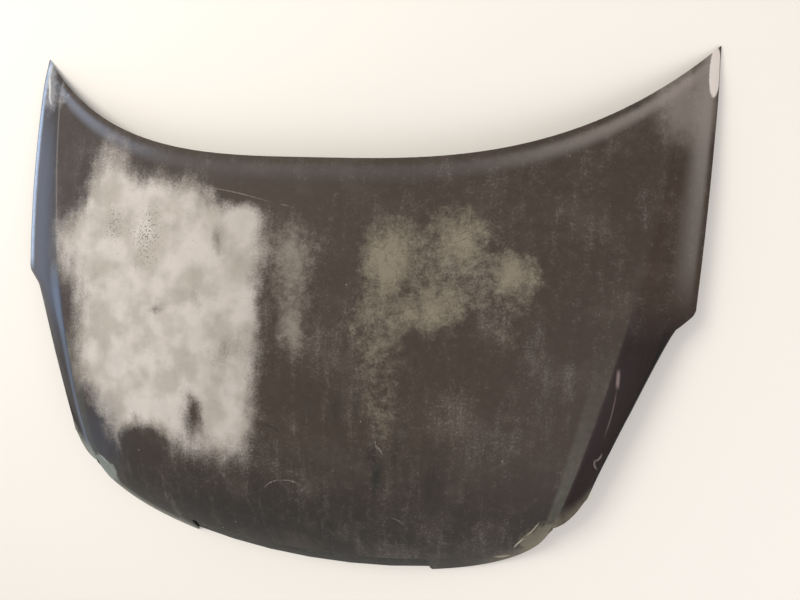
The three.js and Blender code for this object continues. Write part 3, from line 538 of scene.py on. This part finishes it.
# The coat of the yellowish group has crazed into cells of about 26 mm
craze = add("ShaderNodeTexVoronoi", {"Vector": ragged, "Scale": 1 / 26}, feature="DISTANCE_TO_EDGE")
craze = product(fade(craze.outputs["Distance"], 0.035, 0.0), fade(mottle, 0.45, 0.6),
                fade(yellow, 0.0, 0.5), yellow_place)
colour = cover(colour, product(craze, 0.6), "#3a332b")

# Dark specks that dried on the bleached field
speck_place = total(*spots((-342, 120, 50, 95, 1), (-428, 135, 45, 70, 0.8)))
specks = fade(total(cloud(4, 2, 0.5, offset=70), product(speck_place, 0.22)), 0.66, 0.8)
colour = cover(colour, product(specks, bleached, 0.7), "#5d554c")

# Scratches to the primer: each has a start, an end, a half width and a bow
scratches = [((-229, 220), (-60, 188), 1.6, 4), ((-60, 188), (-35, 184), 1.0, 0),
             ((-400, -270), (-376, -284), 2.2, -6), ((-62, -346), (-28, -324), 1.8, 5),
             ((-30, -325), (16, -328), 1.8, 5), ((148, -232), (168, -256), 1.8, 3),
             ((150, -224), (158, -252), 1.2, -3), ((-240, -262), (-222, -276), 1.4, 2),
             ((182, -368), (214, -384), 1.6, 3)]
worn = stroke(*scratches[0])
for scratch in scratches[1:]:
    worn = add("ShaderNodeMath", {0: worn, 1: stroke(*scratch)}, operation="MAXIMUM").outputs[0]
colour = cover(colour, product(worn, fade(grain, 0.35, 0.6), 0.55), "#a59d95")
colour = cover(colour, product(stroke((-66, -219), (-26, -236), 3.0, 2), 0.7), "#2a2522")

# Stone chips, about 3 mm across, in about one of five cells of 42 mm
cells = add("ShaderNodeTexVoronoi", {"Vector": where, "Scale": 1 / 42, "Randomness": 1.0}).outputs
chosen = add("ShaderNodeSeparateXYZ", {0: cells["Color"]}).outputs[0]
chip = product(fade(cells["Distance"], 0.045, 0.02), fade(chosen, 0.8, 0.83))
colour = cover(colour, product(chip, 0.6), "#a39c94")

# The flank outside the crease keeps more of its gloss. Its unfaded maroon-black paint is darkened further by
# painted shade, most in its outer half;
# on the left a painted steel-blue reflection lies on its lit strip, which runs beside the edge behind the
# step and beside the crease before it
# Partly the flank's unfaded maroon-black paint and partly painted shade on the flank
outside = product(fade(flank, -1, 5), fade(y, 70, -30))
colour = cover(colour, product(outside, 0.9), "#251b1b")
# Painted shade on the outer half of the flank, which turns further from the light
shaded_outer_half = product(fade(beside, 48, 30), fade(y, 40, -40))
colour = cover(colour, product(shaded_outer_half, fade(flank, 6, 14), 0.8), "#1b1c1b")
left_side = fade(x, -100, -200)
above_step = fade(y, 20, 70)
below_step = fade(above_step, 0, 1, 1, 0, soft=False)
lit_strip = total(product(above_step, fade(beside, 34, 14)), product(below_step, fade(flank, 44, 14)))
# Painted steel-blue reflection of the blue light along the left flank's lit strip
blue_reflection = product(left_side, fade(flank, 0, 8), lit_strip, fade(y, 140, -60), 0.5)
colour = cover(colour, blue_reflection, "#5c6d84")
# Painted shade on the left flank beside its lit strip
colour = cover(colour, product(left_side, fade(flank, 2, 10), fade(lit_strip, 0.5, 0.0), 0.55), "#332f2f")
# Painted highlight along the left crease behind the step
crease_highlight = product(left_side, above_step, fade(flank, -6, -1), fade(flank, 5, 0))
colour = cover(colour, product(crease_highlight, 0.35), "#8f8c88")

# A painted highlight on the band inside each crease, painted highlights along the front edge at both ends, a
# painted blue sheen inside the left crease at the front, and the chipped corners of the front edge
# Painted highlight on the band inside each crease, towards the front
band_highlight = product(fade(flank, -62, -48), fade(flank, 1, -5), fade(y, 0, -300))
colour = cover(colour, product(band_highlight, fade(fine, 0.2, 0.7, 0.35, 0.8)), "#57564d")
# Painted highlights along the rolled front edge towards both ends, greenish grey on the left
front_roll_highlight = product(fade(front, 58, 8), fade(fine, 0.25, 0.6, 0.5, 1.0))
colour = cover(colour, product(front_roll_highlight, fade(x, 300, 420), 0.7), "#6f6a5c")
colour = cover(colour, product(front_roll_highlight, fade(x, -180, -300), 0.85), "#8f9287")
# Painted blue sheen inside the left crease near the front corner
blue_sheen_corner = product(spot(-455, -300, 110, 120), fade(flank, 2, -8))
colour = cover(colour, product(blue_sheen_corner, 0.5), "#3c4654")
right_corner = total(spot(458, -398, 54, 62), product(fine, 0.9), product(grain, 0.4), -0.7)
colour = cover(colour, product(fade(right_corner, 0.1, 0.5), 0.55), "#837d6b")
left_corner = total(spot(-452, -376, 44, 52, 20), product(fine, 0.5), product(grain, 0.2), -0.45)
colour = cover(colour, product(fade(left_corner, 0.1, 0.3), 0.7), "#8b938d")

# Single rubs and chips along the edges, and painted reflection streaks on the right flank and the left rear
# tip: start, end, half width, bow, strength and tone
rubs_and_reflections = [
    # The two on this line are a painted pinkish reflection line down the right flank
    ((560, -62), (561, -104), 5, 0, 0.5, "#a8938f"), ((562, -92), (546, -196), 2.2, 4, 0.4, "#857371"),
    ((548, -216), (534, -234), 3, 4, 0.45, "#a09295"), ((534, -226), (541, -250), 2.6, -5, 0.45, "#a09295"),
    ((452, -350), (427, -391), 2, 2, 0.7, "#bdb6a2"), ((427, -390), (408, -421), 2.4, -2, 0.8, "#c9c2ae"),
    ((446, -352), (404, -418), 1.8, 0, 0.6, "#24211d"), ((408, -442), (372, -448), 5, 2, 0.6, "#b3ac99"),
    ((-468, -342), (-434, -368), 1.8, 0, 0.7, "#bcc2bd"),
    ((-434, -366), (-428, -396), 1.4, 0, 0.5, "#bcc2bd"),
    ((-632, -26), (-630, -40), 2.2, 0, 0.6, "#c5c9cb"), ((-596, -120), (-592, -132), 2, 0, 0.5, "#c5c9cb"),
    # These two are painted whitish reflection streaks on the left rear tip
    ((-698, 488), (-672, 414), 5, 3, 0.75, "#e6e4e0"), ((-684, 440), (-662, 402), 4, -2, 0.6, "#e0dfdc")]
for start, end, wide, bend, share, tone in rubs_and_reflections:
    colour = cover(colour, product(stroke(start, end, wide, bend), share), tone)
tree.links.new(colour, shader.inputs["Base Color"])

# The bleached coat is rougher and the flank smoother; only the lit strip on the left mirrors much
on_flank = fade(flank, -2, 14)
rough = total(fade(bleached, 0, 1, 0.56, 0.8), product(on_flank, -0.26), product(fine, 0.1))
tree.links.new(rough, shader.inputs["Roughness"])
sheen = total(0.22, product(on_flank, fade(x, -100, 100, 0, -0.14)),
              product(on_flank, left_side, fade(lit_strip, 0, 1, -0.06, 0.26)))
tree.links.new(sheen, shader.inputs["Specular IOR Level"])
height = total(product(grain, 0.5), product(worn, -1.0))
relief = add("ShaderNodeBump", {"Height": height, "Distance": 0.12 * MM, "Strength": 0.5}).outputs[0]
tree.links.new(relief, shader.inputs["Normal"])

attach(skin, "root")
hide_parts("outer_skin")

# Inner frame
# The inner frame is one pressed sheet under the skin, 0.7 mm, with a ring and ribs and six windows.
# It is sprayed thinly in green-black satin paint, dusty in its hollows. Its lip shows in the nose.


def smoothed_copy(node, name, material, angle):
    """A copy of one of the part's solids, its facets merged and shaded smooth up to that angle."""
    mesh = frame["nodes"][node].data.copy()
    mesh.name = name
    work = bmesh.new()
    work.from_mesh(mesh)
    bmesh.ops.remove_doubles(work, verts=work.verts, dist=1e-6)
    for face in work.faces:
        face.smooth = True
        face.material_index = 0
    work.to_mesh(mesh)
    work.free()
    mesh.set_sharp_from_angle(angle=math.radians(angle))
    mesh.materials.clear()
    mesh.materials.append(material)
    piece = bpy.data.objects.new(name, mesh)
    bpy.context.scene.collection.objects.link(piece)
    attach(piece, "root")
    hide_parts(node)
    return piece


def patchy(size_mm, detail=4, roughness=0.55):
    """Clouds of that size right through a piece, from 0 to 1."""
    inputs = {"Vector": add("ShaderNodeTexCoord").outputs["Object"], "Scale": 1 / (size_mm * MM),
              "Detail": detail, "Roughness": roughness}
    return add("ShaderNodeTexNoise", inputs).outputs["Fac"]


frame_paint = new_material("frame_paint", 0.5)
tree = frame_paint.node_tree
shader = tree.nodes["Principled BSDF"]
shader.inputs["Specular IOR Level"].default_value = 0.2
clouds = patchy(45)
dust = patchy(7, roughness=0.7)
facing = add("ShaderNodeNewGeometry").outputs["Normal"]
upward = add("ShaderNodeSeparateXYZ", {0: facing}).outputs[2]
settled = product(fade(upward, 0.3, 1.0), fade(clouds, 0.3, 0.7))
tint = cover("#0a0c0a", fade(clouds, 0.3, 0.7), "#141712")
tint = cover(tint, product(settled, 0.22), "#4c4c41")
tint = cover(tint, product(fade(dust, 0.58, 0.75), 0.2), "#44443a")
tree.links.new(tint, shader.inputs["Base Color"])
tree.links.new(fade(dust, 0.2, 0.8, 0.44, 0.62), shader.inputs["Roughness"])
relief = add("ShaderNodeBump", {"Height": dust, "Distance": 0.05 * MM, "Strength": 0.4}).outputs[0]
tree.links.new(relief, shader.inputs["Normal"])
inner = smoothed_copy("inner_frame", "frame_pressing", frame_paint, 38)

# Zinc-plated fittings
# Hinge plates, weld nuts, the latch striker and its bolts are steel with a thin zinc plating.
# The plating has gone dull and straw-coloured, with a little brown where damp stood.

zinc = new_material("dull_zinc", 0.4, metallic=1.0)
tree = zinc.node_tree
shader = tree.nodes["Principled BSDF"]
clouds = patchy(9)
damp = patchy(3, 5, 0.7)
tint = cover("#a8a593", fade(clouds, 0.35, 0.65), "#918a72")
tint = cover(tint, product(fade(damp, 0.6, 0.72), 0.7), "#5f4630")
tree.links.new(tint, shader.inputs["Base Color"])
tree.links.new(fade(clouds, 0.3, 0.7, 0.32, 0.55), shader.inputs["Roughness"])
tree.links.new(fade(damp, 0.6, 0.72, 1.0, 0.3), shader.inputs["Metallic"])
relief = add("ShaderNodeBump", {"Height": damp, "Distance": 0.03 * MM, "Strength": 0.5}).outputs[0]
tree.links.new(relief, shader.inputs["Normal"])
zinc_nodes = [item["node"] for item in frame["record"]["subparts"] if item["material_slot"] == "plated_steel"]
for node in zinc_nodes:
    smoothed_copy(node, "dressed_" + node, zinc, 35)

# Rubber stops
# Four moulded rubber stops, pressed into the frame, on which the closed bonnet rests.
# The rubber is matt and greyed by dust.

rubber = new_material("stop_rubber", 0.82)
tree = rubber.node_tree
shader = tree.nodes["Principled BSDF"]
bloom = patchy(5, roughness=0.65)
tint = cover("#161616", fade(bloom, 0.35, 0.75), "#2b2a28")
tree.links.new(tint, shader.inputs["Base Color"])
relief = add("ShaderNodeBump", {"Height": bloom, "Distance": 0.06 * MM, "Strength": 0.5}).outputs[0]
tree.links.new(relief, shader.inputs["Normal"])
for place in ("front_left", "rear_left", "front_right", "rear_right"):
    smoothed_copy("rubber_stop_" + place, "stop_" + place, rubber, 50)

# Stay grommet
# A moulded bush of natural nylon, clipped into the frame, that takes the tip of the stay.
# The nylon lets a little light in and is yellowed and a little grimy.

nylon = new_material("nylon", 0.48)
tree = nylon.node_tree
shader = tree.nodes["Principled BSDF"]
grime = patchy(6, roughness=0.65)
tint = cover("#d6cfb9", fade(grime, 0.4, 0.75), "#a3977a")
tree.links.new(tint, shader.inputs["Base Color"])
shader.inputs["Subsurface Weight"].default_value = 0.1
shader.inputs["Subsurface Radius"].default_value = (0.002, 0.0015, 0.001)
smoothed_copy("stay_grommet", "stay_bush", nylon, 50)

# Mastic pads
# Twelve pads of soft mastic squeezed between the ribs and the skin, which keep the skin from drumming.
# The mastic is matt dark grey with a wrinkled surface.

mastic = new_material("mastic", 0.9)
tree = mastic.node_tree
shader = tree.nodes["Principled BSDF"]
wrinkle = patchy(4, roughness=0.6)
tint = cover("#33312e", fade(wrinkle, 0.3, 0.7), "#45423d")
tree.links.new(tint, shader.inputs["Base Color"])
relief = add("ShaderNodeBump", {"Height": wrinkle, "Distance": 0.4 * MM, "Strength": 0.7}).outputs[0]
tree.links.new(relief, shader.inputs["Normal"])
for number in range(1, 13):
    smoothed_copy("mastic_pad_%d" % number, "pad_%d" % number, mastic, 50)

# Camera, floor and light
# The camera looks down on the panel from a little to its right, at the photograph's angle.
# The floor is pale and plain, and three soft lights and a pale sky light the panel evenly.

camera_data = bpy.data.cameras.new("camera")
camera_data.sensor_width = 36
camera_data.lens = 22.95
camera = bpy.data.objects.new("camera", camera_data)
camera.location = (0.3489, 0.0405, 1.0138)
camera.rotation_euler = [math.radians(angle) for angle in (-0.094, 10.897, 4.038)]
bpy.context.scene.collection.objects.link(camera)
bpy.context.scene.camera = camera

bpy.ops.mesh.primitive_plane_add(size=80, location=(0, 0, 0))
floor = bpy.context.object
floor.name = "floor"
floor.data.materials.append(new_material("floor_paint", 0.9, "#f1ece4"))

world = bpy.data.worlds.new("world")
world.use_nodes = True
bpy.context.scene.world = world
tree = world.node_tree
sky = tree.nodes["Background"]
sky.inputs["Color"].default_value = linear("#fbfaf8")
seen = add("ShaderNodeLightPath").outputs["Is Camera Ray"]
tree.links.new(fade(seen, 0, 1, 0.6, 0.97), sky.inputs["Strength"])


def soft_light(name, place, target, size, power, colour):
    data = bpy.data.lights.new(name, "AREA")
    data.shape = "RECTANGLE"
    data.size, data.size_y = size
    data.energy = power
    data.color = linear(colour)[:3]
    lamp = bpy.data.objects.new(name, data)
    lamp.location = place
    lamp.rotation_euler = (Vector(target) - Vector(place)).to_track_quat("-Z", "Y").to_euler()
    bpy.context.scene.collection.objects.link(lamp)


soft_light("key", (-1.6, 1.4, 2.6), (0, 0, 0), (1.6, 1.6), 60, "#fffaf2")
soft_light("sky", (-2.6, 0.3, 0.35), (-0.6, 0.1, 0.05), (1.4, 0.4), 11, "#a9c4ee")
soft_light("fill", (2.2, -1.2, 2.2), (0, 0, 0), (1.8, 1.8), 30, "#f8f6ff")

bpy.context.scene.view_settings.view_transform = "Standard"
